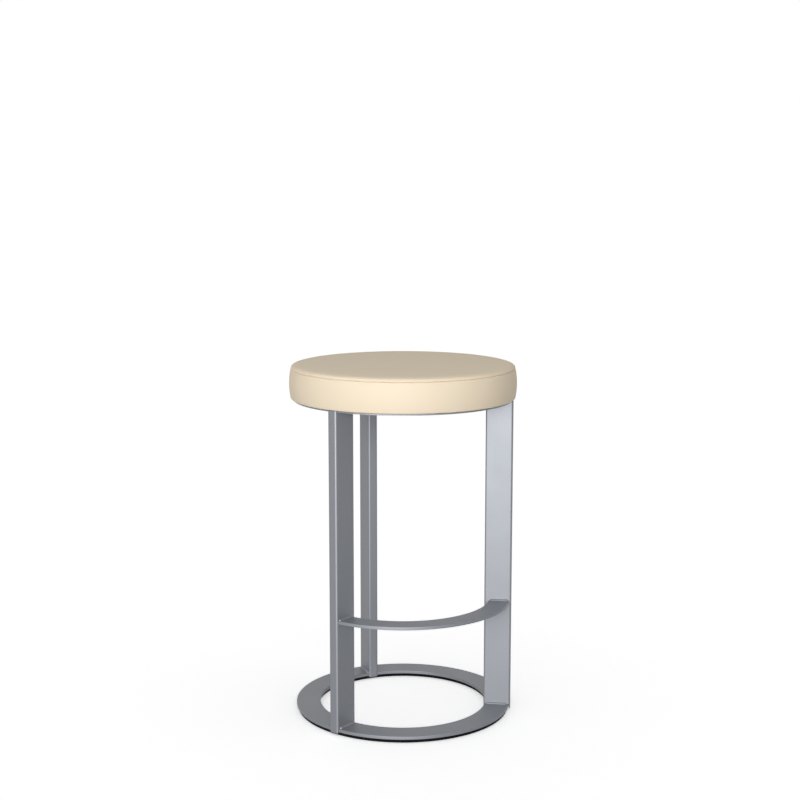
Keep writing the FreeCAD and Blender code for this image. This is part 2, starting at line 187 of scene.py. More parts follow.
floor_form = bmesh.new()
bmesh.ops.create_grid(floor_form, x_segments=1, y_segments=1, size=FLOOR_SIZE / 2)
floor_mesh = mesh_of(floor_form, "studio_floor")
floor = add_object("studio_floor", floor_mesh)
unlit = bpy.data.collections.new("lit_by_the_room_alone")
unlit.objects.link(floor)
unlit.collection_objects[0].light_linking.link_state = "EXCLUDE"
for lamp in lamps:
    lamp.light_linking.receiver_collection = unlit

# Matt white paint gives a floor that runs into the room, with a soft shadow under the stool.
floor_paint = bpy.data.materials.new("pale_floor")
floor_tree = empty_tree(floor_paint)
unseen = add_node(floor_tree, "ShaderNodeBsdfDiffuse", [("Color", linear("#E7E7E7"))])
bright = (FLOOR_SHADE, FLOOR_SHADE, FLOOR_SHADE, 1)
white = add_node(floor_tree, "ShaderNodeBsdfDiffuse", [("Color", bright)])
glow = add_node(floor_tree, "ShaderNodeEmission", [("Strength", FLOOR_GLOW)])
seen = add_node(floor_tree, "ShaderNodeAddShader", (), [(0, white), (1, glow)])
floor_mix = part_by_sight(floor_tree, unseen, seen)
add_node(floor_tree, "ShaderNodeOutputMaterial", (), [("Surface", floor_mix)])
floor_mesh.materials.append(floor_paint)

# The glide ring. A moulded ring of black rubber under the steel one, set in from its rims so that
# only a dark line of it shows.
BODY = "root"
MERGE_DISTANCE = 0.002 * MM
SHARP_EDGE = math.radians(35)
RING_STEPS = 256
RING_EDGE_STEPS = 3
GLIDE_OUTER = 201 * MM
GLIDE_INNER = 161.5 * MM
GLIDE_TOP = 6 * MM
GLIDE_CORNER = 0.8 * MM
RUBBER_GRAIN = 0.9 * MM


def begin_material(name):
    """A new material, its empty node tree, and the link that lays a pattern out on the object."""
    made = bpy.data.materials.new(name)
    tree = empty_tree(made)
    place = [("Vector", add_node(tree, "ShaderNodeTexCoord").outputs["Object"])]
    return made, tree, place


def end_material(tree, settings, links):
    """Gives a material its shader."""
    shader = add_node(tree, "ShaderNodeBsdfPrincipled", settings, links)
    add_node(tree, "ShaderNodeOutputMaterial", (), [("Surface", shader)])


def make_piece(form, name, sharp=SHARP_EDGE, is_soft=False):
    """Makes a shape a piece, smooth between its sharp edges, or all over where it is soft."""
    bmesh.ops.remove_doubles(form, verts=form.verts[:], dist=MERGE_DISTANCE)
    bmesh.ops.recalc_face_normals(form, faces=form.faces[:])
    for face in form.faces:
        face.smooth = True
    for edge in form.edges:
        edge.smooth = is_soft or not edge.is_manifold or edge.calc_face_angle() < sharp
    piece = add_object(name, mesh_of(form, name))
    if not is_soft:
        flat = piece.modifiers.new("flat_faces_stay_flat", "WEIGHTED_NORMAL")
        flat.keep_sharp = True
    return piece


def finish_piece(piece, material, slot_name, *stood_for):
    """Gives a piece its material and body, and hides the nodes that it stands for; slot_name is not
    used.
    """
    piece.data.materials.clear()
    piece.data.materials.append(material)
    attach(piece, BODY)
    if stood_for:
        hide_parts(*stood_for)


def round_corners(form, corners, radius, steps):
    """Rounds some corners of an outline."""
    bmesh.ops.bevel(
        form,
        geom=corners,
        offset=radius,
        segments=steps,
        profile=0.5,
        affect="VERTICES",
        material=-1,
    )


def spin_round(form, steps):
    """Spins an outline once about the stool's axis."""
    bmesh.ops.spin(
        form,
        geom=form.verts[:] + form.edges[:],
        cent=(0, 0, 0),
        axis=(0, 0, 1),
        angle=math.tau,
        steps=steps,
        use_merge=True,
    )


def flat_ring(outer, inner, low, high, corner):
    """A flat ring about the stool's axis, with its edges rounded."""
    form = bmesh.new()
    outline = [(inner, low), (outer, low), (outer, high), (inner, high)]
    corners = [form.verts.new((radius, 0, height)) for radius, height in outline]
    form.faces.new(corners)
    round_corners(form, corners, corner, RING_EDGE_STEPS)
    bmesh.ops.delete(form, geom=form.faces[:], context="FACES_ONLY")
    spin_round(form, RING_STEPS)
    return form


# Moulded rubber gives a dull near-black with a fine tooth.
rubber, tree, place = begin_material("moulded_black_rubber")
tooth_settings = [("Scale", 1 / RUBBER_GRAIN), ("Detail", 3)]
tooth = add_node(tree, "ShaderNodeTexNoise", tooth_settings, place)
shade_settings = [("Color1", linear("#040405")), ("Color2", linear("#0A0A0B"))]
shade = add_node(tree, "ShaderNodeMixRGB", shade_settings, [("Fac", tooth)])
rough_settings = [("To Min", 0.75), ("To Max", 0.92)]
rough = add_node(tree, "ShaderNodeMapRange", rough_settings, [("Value", tooth)])
bumps = add_node(tree, "ShaderNodeBump", [("Distance", 0.05 * MM)], [("Height", tooth)])
end_material(
    tree,
    [("IOR", 1.52), ("Specular IOR Level", 0.08)],
    [("Base Color", shade), ("Roughness", rough), ("Normal", bumps)],
)
glide_form = flat_ring(GLIDE_OUTER, GLIDE_INNER, 0, GLIDE_TOP, GLIDE_CORNER)
finish_piece(make_piece(glide_form, "rubber_glide"), rubber, "glide_black", "glide_ring")

# The glide's tape. A band of thin double-sided acrylic tape, laid on top of the rubber, that sticks
# it to the underside of the floor ring.
TAPE_OUTER = 198 * MM
TAPE_INNER = 164.5 * MM
TAPE_TOP = 6.5 * MM
TAPE_CORNER = 0.1 * MM
TAPE_BUBBLE = 2 * MM

# Acrylic adhesive gives a milky, slightly shiny band, mottled where air is caught in it.
tape_paint, tree, place = begin_material("milky_acrylic_tape")
air_settings = [("Scale", 1 / TAPE_BUBBLE), ("Detail", 4)]
air = add_node(tree, "ShaderNodeTexNoise", air_settings, place)
shade_settings = [("Color1", linear("#B9B8B0")), ("Color2", linear("#DAD9D2"))]
shade = add_node(tree, "ShaderNodeMixRGB", shade_settings, [("Fac", air)])
rough_settings = [("To Min", 0.35), ("To Max", 0.55)]
rough = add_node(tree, "ShaderNodeMapRange", rough_settings, [("Value", air)])
end_material(tree, [("IOR", 1.47)], [("Base Color", shade), ("Roughness", rough)])
tape_form = flat_ring(TAPE_OUTER, TAPE_INNER, GLIDE_TOP, TAPE_TOP, TAPE_CORNER)
finish_piece(make_piece(tape_form, "glide_tape_band"), tape_paint, "tape", "glide_tape")

# The floor ring. Steel plate 6 mm thick, cut to a ring and its edges broken with a file, then
# coated with the rest of the frame once that is welded up.
STEEL_OUTER = 204 * MM
STEEL_INNER = 158.5 * MM
FLOOR_RING_TOP = 12.5 * MM
FLOOR_RING_CORNER = 0.6 * MM
PAINT_FLAKE = 0.8 * MM
PAINT_PEEL = 4 * MM
PAINT_CLOUD = 60 * MM

# A powder coat with metal flake gives a blue-grey satin, broad soft highlights, a faint orange
# peel and a slight grit. The flake is drawn at 0.8 mm so that it can show at all.
paint, tree, place = begin_material("grey_metallic_powder_coat")
flake_settings = [("Scale", 1 / PAINT_FLAKE), ("Detail", 2)]
flake = add_node(tree, "ShaderNodeTexNoise", flake_settings, place)
peel_settings = [("Scale", 1 / PAINT_PEEL), ("Detail", 1)]
peel = add_node(tree, "ShaderNodeTexNoise", peel_settings, place)
cloud_settings = [("Scale", 1 / PAINT_CLOUD), ("Detail", 2)]
cloud = add_node(tree, "ShaderNodeTexNoise", cloud_settings, place)
shade_settings = [("Color1", linear("#7B7E84")), ("Color2", linear("#85888E"))]
shade = add_node(tree, "ShaderNodeMixRGB", shade_settings, [("Fac", flake)])
rough_settings = [("To Min", 0.48), ("To Max", 0.56)]
rough = add_node(tree, "ShaderNodeMapRange", rough_settings, [("Value", cloud)])
bumps = add_node(tree, "ShaderNodeBump", [("Distance", 0.02 * MM)], [("Height", peel)])
end_material(
    tree,
    [("Metallic", 0.3), ("IOR", 1.5), ("Coat Weight", 0.05), ("Coat Roughness", 0.35)],
    [("Base Color", shade), ("Roughness", rough), ("Normal", bumps)],
)
ring_form = flat_ring(STEEL_OUTER, STEEL_INNER, TAPE_TOP, FLOOR_RING_TOP, FLOOR_RING_CORNER)
finish_piece(make_piece(ring_form, "floor_ring"), paint, "frame_steel", "base_ring")

# The uprights. Three lengths of rectangular steel tube with rounded corners. Their broad walls
# butt on the floor ring and under the seat plate, and their narrow walls lap the rims of both.
UPRIGHT_DEGREES = {"rear": 90, "front_left": 210, "front_right": 330}
TUBE_MIDDLE = 181.25 * MM
TUBE_DEPTH = 50.5 * MM
TUBE_BREADTH = 19 * MM
TUBE_WALL = 2 * MM
TUBE_CORNER = 3.5 * MM
TUBE_CORNER_STEPS = 8
PLATE_LOW = 595.5 * MM
LIP_INSIDE = 23.25 * MM
LIP_LOW = 4.5 * MM
LIP_TOP = 598 * MM
ON_PLANE = 0.01 * MM


def extrude_by(form, faces, move):
    """Extrudes faces and carries the new ones along."""
    drawn = bmesh.ops.extrude_face_region(form, geom=faces)["geom"]
    drawn = [part for part in drawn if isinstance(part, bmesh.types.BMVert)]
    bmesh.ops.translate(form, vec=move, verts=drawn)


def turn_to(form, degrees):
    """Turns a shape that was made along +X about the stool's axis."""
    turn = Matrix.Rotation(math.radians(degrees), 3, "Z")
    bmesh.ops.rotate(form, matrix=turn, verts=form.verts[:])


def upright_tube(degrees):
    """A tube made from its wall's section, with its narrow walls carried on as lips."""
    form = bmesh.new()
    bmesh.ops.create_grid(form, x_segments=1, y_segments=1, size=0.5)
    bmesh.ops.scale(form, vec=(TUBE_DEPTH, TUBE_BREADTH, 1), verts=form.verts[:])
    bmesh.ops.translate(form, vec=(TUBE_MIDDLE, 0, FLOOR_RING_TOP), verts=form.verts[:])
    round_corners(form, form.verts[:], TUBE_CORNER, TUBE_CORNER_STEPS)
    wall = bmesh.ops.inset_region(
        form, faces=form.faces[:], thickness=TUBE_WALL, use_even_offset=True, use_boundary=True
    )["faces"]
    bore = [face for face in form.faces if face not in wall]
    bmesh.ops.delete(form, geom=bore, context="FACES_ONLY")
    for lip_start in (TUBE_MIDDLE - LIP_INSIDE, TUBE_MIDDLE + LIP_INSIDE):
        everything = form.verts[:] + form.edges[:] + form.faces[:]
        bmesh.ops.bisect_plane(
            form, geom=everything, plane_co=(lip_start, 0, 0), plane_no=(1, 0, 0)
        )
    extrude_by(form, form.faces[:], (0, 0, PLATE_LOW - FLOOR_RING_TOP))
    for level, end in ((PLATE_LOW, LIP_TOP), (FLOOR_RING_TOP, LIP_LOW)):
        lips = []
        for face in form.faces:
            middle = face.calc_center_median()
            if abs(middle.z - level) < ON_PLANE and abs(middle.x - TUBE_MIDDLE) > LIP_INSIDE:
                lips.append(face)
        extrude_by(form, lips, (0, 0, end - level))
        left_inside = [face for face in lips if face.is_valid]
        bmesh.ops.delete(form, geom=left_inside, context="FACES")
    turn_to(form, degrees)
    return form


for name, degrees in UPRIGHT_DEGREES.items():
    upright = make_piece(upright_tube(degrees), "tube_" + name)
    finish_piece(upright, paint, "frame_steel", "upright_" + name)

# The footrest. Flat steel bar rolled to the floor ring's curve, its edges broken and its ends cut
# square to lie against the flat sides of the two front tubes.
FOOTREST_OUTER = 203.5 * MM
FOOTREST_INNER = 165.5 * MM
FOOTREST_LOW = 209.5 * MM
FOOTREST_TOP = 215.5 * MM
FOOTREST_CORNER = 0.6 * MM

# Each end lies on one flat side of its tube: 1 is on the left, looking outwards, and -1 right.
FOOTREST_ENDS = (("front_right", -1), ("front_left", 1))

bar_form = flat_ring(FOOTREST_OUTER, FOOTREST_INNER, FOOTREST_LOW, FOOTREST_TOP, FOOTREST_CORNER)
for name, side in FOOTREST_ENDS:
    turn = math.radians(UPRIGHT_DEGREES[name])
    away = Vector((-math.sin(turn), math.cos(turn), 0)) * side
    everything = bar_form.verts[:] + bar_form.edges[:] + bar_form.faces[:]
    cut = bmesh.ops.bisect_plane(
        bar_form,
        geom=everything,
        plane_co=away * TUBE_BREADTH / 2,
        plane_no=-away,
        clear_outer=True,
    )
    open_end = [part for part in cut["geom_cut"] if isinstance(part, bmesh.types.BMEdge)]
    bmesh.ops.holes_fill(bar_form, edges=open_end, sides=0)
finish_piece(make_piece(bar_form, "rolled_footrest"), paint, "frame_steel", "footrest_bar")

# The welds. Small fillet beads of weld metal on both flat sides of each tube, on the floor ring and
# under the seat plate, and at the footrest's two ends. They are laid in short overlapping ripples
# towards the rim, where each stops in a small rounded bulb.
BEAD_LEG = 2.5 * MM
BEAD_FULLNESS = 0.6
BEAD_RIPPLE = 1.9 * MM
BEAD_RIPPLE_DEPTH = 0.06
BEAD_TAPER = 2.5 * MM
BEAD_END = 0.3
BEAD_BULB = 0.3
BEAD_ROOT = 0.25 * MM
BEAD_STEPS = 64
BEAD_SLOPE_STEPS = 3
BEAD_SHARP_EDGE = math.radians(60)
RING_BEAD = (160.5 * MM, 200 * MM)
FOOTREST_BEAD = (166.5 * MM, 201 * MM)


def lay_bead(beads, degrees, side, root, rise, reach):
    """Adds a bead on a tube's left (1) or right (-1) flat side, rising up (1) or down (-1)."""
    start, end = reach
    wall = side * TUBE_BREADTH / 2
    form = bmesh.new()
    outline = [(wall, root), (wall + side * BEAD_LEG, root), (wall, root + rise * BEAD_LEG)]
    corners = [form.verts.new((start, across, height)) for across, height in outline]
    section = form.faces.new(corners)
    slope = next(edge for edge in section.edges if corners[0] not in edge.verts)
    bmesh.ops.subdivide_edges(form, edges=[slope], cuts=BEAD_SLOPE_STEPS)
    extrude_by(form, form.faces[:], (end - start, 0, 0))
    long_edges = [edge for edge in form.edges if edge.calc_length() > (end - start) / 2]
    bmesh.ops.subdivide_edges(form, edges=long_edges, cuts=BEAD_STEPS)
    for vertex in form.verts:
        from_corner = Vector((0, vertex.co.y - wall, vertex.co.z - root))
        if from_corner.length > BEAD_ROOT:
            full = 1 + BEAD_FULLNESS * (BEAD_LEG / from_corner.length - 1)
            ripple = 1 - BEAD_RIPPLE_DEPTH * abs(math.sin(math.pi * vertex.co.x / BEAD_RIPPLE))
            from_end = min(1, max(0, min(vertex.co.x - start, end - vertex.co.x) / BEAD_TAPER))
            taper = BEAD_END + (1 - BEAD_END) * math.sqrt(1 - (1 - from_end) ** 2)
            bulb = 1 + BEAD_BULB * math.exp(-(((end - vertex.co.x) / BEAD_TAPER - 1) ** 2))
            shaped = from_corner * full * ripple * taper * bulb
            vertex.co = Vector((vertex.co.x, wall, root)) + shaped
    turn_to(form, degrees)
    bead = mesh_of(form, "bead")
    beads.from_mesh(bead)
    bpy.data.meshes.remove(bead)


for node, root, rise in (("base_welds", FLOOR_RING_TOP, 1), ("top_welds", PLATE_LOW, -1)):
    beads = bmesh.new()
    for degrees in UPRIGHT_DEGREES.values():
        for side in (1, -1):
            lay_bead(beads, degrees, side, root, rise, RING_BEAD)
    welds = make_piece(beads, node + "_rippled", BEAD_SHARP_EDGE)
    finish_piece(welds, paint, "frame_steel", node)
beads = bmesh.new()
for name, side in FOOTREST_ENDS:
    for root, rise in ((FOOTREST_TOP, 1), (FOOTREST_LOW, -1)):
        lay_bead(beads, UPRIGHT_DEGREES[name], side, root, rise, FOOTREST_BEAD)
welds = make_piece(beads, "footrest_welds_rippled", BEAD_SHARP_EDGE)
finish_piece(welds, paint, "frame_steel", "footrest_welds")

# The seat plate. A thinner steel ring of the floor ring's outline, drilled for six screws and
# welded on top of the tubes.


def copy_of(node):
    """A copy of a CAD node's mesh, whose loose triangles make_piece joins."""
    form = bmesh.new()
    form.from_mesh(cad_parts[node].data)
    return form


plate = make_piece(copy_of("seat_plate"), "drilled_seat_plate")
finish_piece(plate, paint, "frame_steel", "seat_plate")

# The seat's fixings. Six button-head machine screws with washers, driven from below through the
# plate into pronged inserts in the board, all of zinc-plated steel.
ZINC_SPANGLE = 3 * MM

# Bright zinc gives a cool silver, patchy from bath to bath, with a soft shine.
zinc, tree, place = begin_material("bright_zinc_plate")
spangle_settings = [("Scale", 1 / ZINC_SPANGLE), ("Detail", 3)]
spangle = add_node(tree, "ShaderNodeTexNoise", spangle_settings, place)
shade_settings = [("Color1", linear("#A9ADB2")), ("Color2", linear("#CBCDCE"))]
shade = add_node(tree, "ShaderNodeMixRGB", shade_settings, [("Fac", spangle)])
rough_settings = [("To Min", 0.25), ("To Max", 0.45)]
rough = add_node(tree, "ShaderNodeMapRange", rough_settings, [("Value", spangle)])
end_material(tree, [("Metallic", 1.0)], [("Base Color", shade), ("Roughness", rough)])
for node in ("seat_screws", "screw_washers", "tee_nuts"):
    finish_piece(make_piece(copy_of(node), node + "_plated"), zinc, "fastener_zinc", node)

# The seat board. A disc of birch plywood, 15 mm thick, sawn round and drilled for the inserts. It
# carries the cushion, and the cover and the dust cover are stapled to its underside.
PLY_THICKNESS = 1.5 * MM
PLY_GRAIN = 2.5 * MM
PLY_GRAIN_LENGTH = 90 * MM

# Birch ply gives pale straw faces with a fine long grain, and an edge of light and dark plies.
plywood, tree, place = begin_material("birch_plywood")
grain = (1 / PLY_GRAIN_LENGTH, 1 / PLY_GRAIN, 1 / PLY_THICKNESS)
along = add_node(tree, "ShaderNodeMapping", [("Scale", grain)], place)
fibre_settings = [("Scale", 1.0), ("Detail", 5)]
fibre = add_node(tree, "ShaderNodeTexNoise", fibre_settings, [("Vector", along)])
shade_settings = [("Color1", linear("#B98F5E")), ("Color2", linear("#EBD2A4"))]
shade = add_node(tree, "ShaderNodeMixRGB", shade_settings, [("Fac", fibre)])
rough_settings = [("To Min", 0.55), ("To Max", 0.75)]
rough = add_node(tree, "ShaderNodeMapRange", rough_settings, [("Value", fibre)])
end_material(tree, [("IOR", 1.5)], [("Base Color", shade), ("Roughness", rough)])
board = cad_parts["seat_board"]
board.data.materials.clear()
board.data.materials.append(plywood)

# The foam. A round block of polyurethane upholstery foam, with its upper edge trimmed to a
# rounding, glued to the board.
FOAM_RADIUS = 199.9 * MM
FOAM_LOW = 615 * MM
FOAM_TOP = 654.6 * MM
FOAM_EDGE = 9 * MM
FOAM_CELL = 1.1 * MM
CUSHION_STEPS = 128
CUSHION_EDGE_STEPS = 6


def turned_form(outline, rounded, radius):
    """Spins an outline about the stool's axis, after rounding some of its corners."""
    form = bmesh.new()
    corners = [form.verts.new((across, 0, height)) for across, height in outline]
    for first, second in zip(corners, corners[1:]):
        form.edges.new((first, second))
    soft = [corner for corner, place in zip(corners, outline) if place in rounded]
    round_corners(form, soft, radius, CUSHION_EDGE_STEPS)
    spin_round(form, CUSHION_STEPS)
    return form


# Cut polyurethane foam gives a matt cream, pitted with open cells, with painted shade in the pits.
foam_paint, tree, place = begin_material("polyurethane_foam")
cells = add_node(tree, "ShaderNodeTexVoronoi", [("Scale", 1 / FOAM_CELL)], place)
pit_depth_and_shade = cells.outputs["Distance"]
# The cream is painted darker towards the bottom of each pit, as painted shade.
shade_settings = [("Color1", linear("#D8CDA0")), ("Color2", linear("#F2EBC8"))]
shade = add_node(tree, "ShaderNodeMixRGB", shade_settings, [("Fac", pit_depth_and_shade)])
pits = add_node(tree, "ShaderNodeBump", [("Distance", 0.4 * MM)], [("Height", pit_depth_and_shade)])
end_material(tree, [("IOR", 1.4), ("Roughness", 0.9)], [("Base Color", shade), ("Normal", pits)])
foam_upper_edge = (FOAM_RADIUS, FOAM_TOP)
foam_outline = [(0, FOAM_LOW), (FOAM_RADIUS, FOAM_LOW), foam_upper_edge, (0, FOAM_TOP)]
foam = make_piece(turned_form(foam_outline, [foam_upper_edge], FOAM_EDGE), "foam_block")
finish_piece(foam, foam_paint, "cushion_fill", "seat_foam")

# The wadding. Soft polyester fibre laid over the top and the side of the foam, which rounds the
# cushion's shoulder and fills the cover out.
WADDING_OUTER = 206 * MM
WADDING_INNER = 200.5 * MM
WADDING_LOW = 615.3 * MM
WADDING_SHOULDER = 659.6 * MM
WADDING_TOP = 661.7 * MM
WADDING_ROUND = 9 * MM
FOAM_CLEARANCE = 0.5 * MM
FIBRE_TUFT = 5 * MM

# Polyester fibre gives a matt white, cloudy with tufts.
fibre_paint, tree, place = begin_material("polyester_wadding")
tuft_settings = [("Scale", 1 / FIBRE_TUFT), ("Detail", 6)]
tufts = add_node(tree, "ShaderNodeTexNoise", tuft_settings, place)
shade_settings = [("Color1", linear("#D9D8D2")), ("Color2", linear("#F7F6F2"))]
shade = add_node(tree, "ShaderNodeMixRGB", shade_settings, [("Fac", tufts)])
fluff = add_node(tree, "ShaderNodeBump", [("Distance", 0.6 * MM)], [("Height", tufts)])
end_material(
    tree,
    [("IOR", 1.4), ("Roughness", 1.0), ("Sheen Weight", 0.3), ("Sheen Roughness", 0.6)],
    [("Base Color", shade), ("Normal", fluff)],
)
wadding_shoulder = (WADDING_OUTER, WADDING_SHOULDER)
wadding_inner_edge = (WADDING_INNER, FOAM_TOP + FOAM_CLEARANCE)
wadding_outline = [
    (0, WADDING_TOP),
    wadding_shoulder,
    (WADDING_OUTER, WADDING_LOW),
    (WADDING_INNER, WADDING_LOW),
    wadding_inner_edge,
    (0, FOAM_TOP + FOAM_CLEARANCE),
]
wadding_form = turned_form(wadding_outline, [wadding_shoulder, wadding_inner_edge], WADDING_ROUND)
wadding = make_piece(wadding_form, "wadding_layer")
finish_piece(wadding, fibre_paint, "cushion_fill", "seat_wadding")

# The cushion's cover. Cream faux leather in two pieces, a crowned top panel and a side band, sewn
# together with a plain seam at the shoulder. The band is pulled tight over the board's edge and
# turned in beneath it, and its own ends meet in an upright seam at the rear.
CUSHION_BASE = 598.8 * MM
CUSHION_RADIUS = 212.5 * MM
HEM_RADIUS = 159.5 * MM
HEM_STEPS = 6
BAND_BULGE = 3 * MM
BAND_STEPS = 12
BAND_LOWER_ROUND = 3 * MM
SEAM_HEIGHT = 654.3 * MM
SEAM_DEPTH = 1.3 * MM
SEAM_HALF_WIDTH = 1.5 * MM
SEAM_STEPS = 3
SHOULDER_WIDTH = 18 * MM
SHOULDER_RISE = 8.2 * MM
SHOULDER_STEPS = 6
SHOULDER_ROUND = 6.5 * MM
ROUND_STEPS = 5
CROWN_RISE = 1.2 * MM
CROWN_STEPS = 24
COVER_THICKNESS = 1.2 * MM
COVER_MERGE = 0.02 * MM
REAR_SEAM_HALF_WIDTH = 1.8 * MM
REAR_SEAM_DEPTH = 1.4 * MM
REAR_SEAM_STEPS = 4
HELD_REACH = 0.1 * MM
SLACK = 0.9 * MM
SLACK_STARTS = 15 * MM
SLACK_REACH = 60 * MM
STRETCH = 0.3 * MM
SWELL_FRAMES = 20
LEATHER_PEBBLE = 1.5 * MM
LEATHER_CLOUD = 45 * MM

# The cover's section is a line of arcs, with a corner at the seam: the round under the band, the
# bulged band, the round over the seam, the shoulder and the crown.
seam_radius = CUSHION_RADIUS - BAND_BULGE
half_band = (SEAM_HEIGHT - CUSHION_BASE) / 2
side_radius = (half_band**2 + BAND_BULGE**2) / (2 * BAND_BULGE)
side_reach = math.sqrt((side_radius - BAND_LOWER_ROUND) ** 2 - (half_band - BAND_LOWER_ROUND) ** 2)
side_centre = Vector((CUSHION_RADIUS - side_radius, 0, SEAM_HEIGHT - half_band))
lower_centre = Vector((side_centre.x + side_reach, 0, CUSHION_BASE + BAND_LOWER_ROUND))
lower_turn = math.atan2(half_band - BAND_LOWER_ROUND, side_reach)
seam_turn = math.asin(half_band / side_radius)
rim_radius = seam_radius - SHOULDER_WIDTH
shoulder_square = SHOULDER_WIDTH**2 + SHOULDER_RISE**2 - 2 * SHOULDER_WIDTH * SHOULDER_ROUND
shoulder_radius = shoulder_square / (2 * (SHOULDER_RISE - SHOULDER_ROUND))
shoulder_centre = Vector((rim_radius, 0, SEAM_HEIGHT + SHOULDER_RISE - shoulder_radius))
edge_centre = Vector((seam_radius - SHOULDER_ROUND, 0, SEAM_HEIGHT))
edge_turn = math.atan2(edge_centre.z - shoulder_centre.z, edge_centre.x - shoulder_centre.x)
crown_radius = (rim_radius**2 + CROWN_RISE**2) / (2 * CROWN_RISE)
crown_centre = Vector((0, 0, SEAM_HEIGHT + SHOULDER_RISE + CROWN_RISE - crown_radius))
crown_turn = math.asin(rim_radius / crown_radius)


def sweep_on(form, start, centre, turn, steps):
    """Carries the section on from a point along an arc, and returns the arc's last point."""
    made = bmesh.ops.spin(form, geom=[start], cent=centre, axis=(0, -1, 0), angle=turn, steps=steps)
    return next(part for part in made["geom_last"] if isinstance(part, bmesh.types.BMVert))


cover_form = bmesh.new()
hem_point = cover_form.verts.new((HEM_RADIUS, 0, CUSHION_BASE))
turn_in_point = cover_form.verts.new((lower_centre.x, 0, CUSHION_BASE))
turn_in = cover_form.edges.new((hem_point, turn_in_point))
lower_angle = math.pi / 2 - lower_turn
edge_point = sweep_on(cover_form, turn_in_point, lower_centre, lower_angle, ROUND_STEPS)
seam_point = sweep_on(cover_form, edge_point, side_centre, lower_turn + seam_turn, BAND_STEPS)
near_seam = seam_point.link_edges[0]
shoulder_point = sweep_on(cover_form, seam_point, edge_centre, edge_turn, ROUND_STEPS)
shoulder_angle = math.pi / 2 - edge_turn
rim_point = sweep_on(cover_form, shoulder_point, shoulder_centre, shoulder_angle, SHOULDER_STEPS)
top_point = sweep_on(cover_form, rim_point, crown_centre, crown_turn, CROWN_STEPS)
top_point.co.x = 0
bmesh.ops.subdivide_edges(cover_form, edges=[near_seam], cuts=SEAM_STEPS)
bmesh.ops.subdivide_edges(cover_form, edges=[turn_in], cuts=HEM_STEPS)
spin_round(cover_form, CUSHION_STEPS)
bmesh.ops.remove_doubles(cover_form, verts=cover_form.verts[:], dist=COVER_MERGE)
bmesh.ops.recalc_face_normals(cover_form, faces=cover_form.faces[:])


def from_seam(place):
    """How far a point of the cover is from the shoulder seam."""
    return math.hypot(math.hypot(place.x, place.y) - seam_radius, place.z - SEAM_HEIGHT)


def is_held(place):
    """Whether the board or the shoulder seam holds a point of the cover."""
    return place.z < CUSHION_BASE + HELD_REACH or from_seam(place) < HELD_REACH


cover_form.normal_update()
rest_shape = [vertex.co.copy() for vertex in cover_form.verts]
outward = [vertex.normal.copy() for vertex in cover_form.verts]
slack = []
for vertex in cover_form.verts:
    ease = min(1, max(0, from_seam(vertex.co) - SLACK_STARTS) / SLACK_REACH)
    slack.append(SLACK * ease * ease * (3 - 2 * ease) if vertex.co.z > SEAM_HEIGHT else 0)
    vertex.co = vertex.co - vertex.normal * slack[-1]
slack_shape = [vertex.co.copy() for vertex in cover_form.verts]
cover_mesh = mesh_of(cover_form, "slack_cover")
slack_cover = add_object("slack_cover", cover_mesh)

# The cover is blown out a little from a slacker start, held at the seam and beneath the board.
held = slack_cover.vertex_groups.new(name="held")
held.add([index for index, place in enumerate(rest_shape) if is_held(place)], 1.0, "REPLACE")
cloth = slack_cover.modifiers.new("swell", "CLOTH")
cloth.settings.quality = 6
cloth.settings.mass = 0.3
cloth.settings.tension_stiffness = 30
cloth.settings.compression_stiffness = 30
cloth.settings.shear_stiffness = 15
cloth.settings.bending_stiffness = 2
cloth.settings.air_damping = 4
cloth.settings.use_pressure = True
cloth.settings.uniform_pressure_force = 4
cloth.settings.effector_weights.gravity = 0
cloth.settings.vertex_group_mass = "held"
cloth.collision_settings.use_collision = False
cloth.collision_settings.use_self_collision = False
cloth.point_cache.frame_start = 1
cloth.point_cache.frame_end = SWELL_FRAMES
for step in range(1, SWELL_FRAMES + 1):
    bpy.context.scene.frame_set(step)
swollen = slack_cover.evaluated_get(bpy.context.evaluated_depsgraph_get()).data
full_shape = []
for index, vertex in enumerate(swollen.vertices):
    swell = (vertex.co - slack_shape[index]).dot(outward[index])
    swell = min(max(0, swell), slack[index] + STRETCH)
    full_shape.append(slack_shape[index] + outward[index] * swell)
slack_cover.modifiers.remove(cloth)
bpy.context.scene.frame_set(1)


def is_at_rear(place):
    """Whether a point is on the upright line at the rear where the band's ends meet."""
    return abs(place.x) < ON_PLANE and place.y > 0


def sew_band_ends(form):
    """Draws the band in along the upright seam at the rear."""
    column = [edge for edge in form.edges if all(is_at_rear(vertex.co) for vertex in edge.verts)]
    bmesh.ops.bevel(
        form,
        geom=column,
        offset=REAR_SEAM_HALF_WIDTH,
        segments=REAR_SEAM_STEPS,
        profile=0.5,
        affect="EDGES",
        material=-1,
    )
    form.normal_update()
    for vertex in form.verts:
        if is_at_rear(vertex.co):
            vertex.co -= vertex.normal * REAR_SEAM_DEPTH


def thicken(piece, name, thickness, offset):
    """Gives cloth its thickness, inwards with an offset of -1 and to both sides with 0."""
    wall = piece.modifiers.new(name, "SOLIDIFY")
    wall.thickness = thickness
    wall.offset = offset


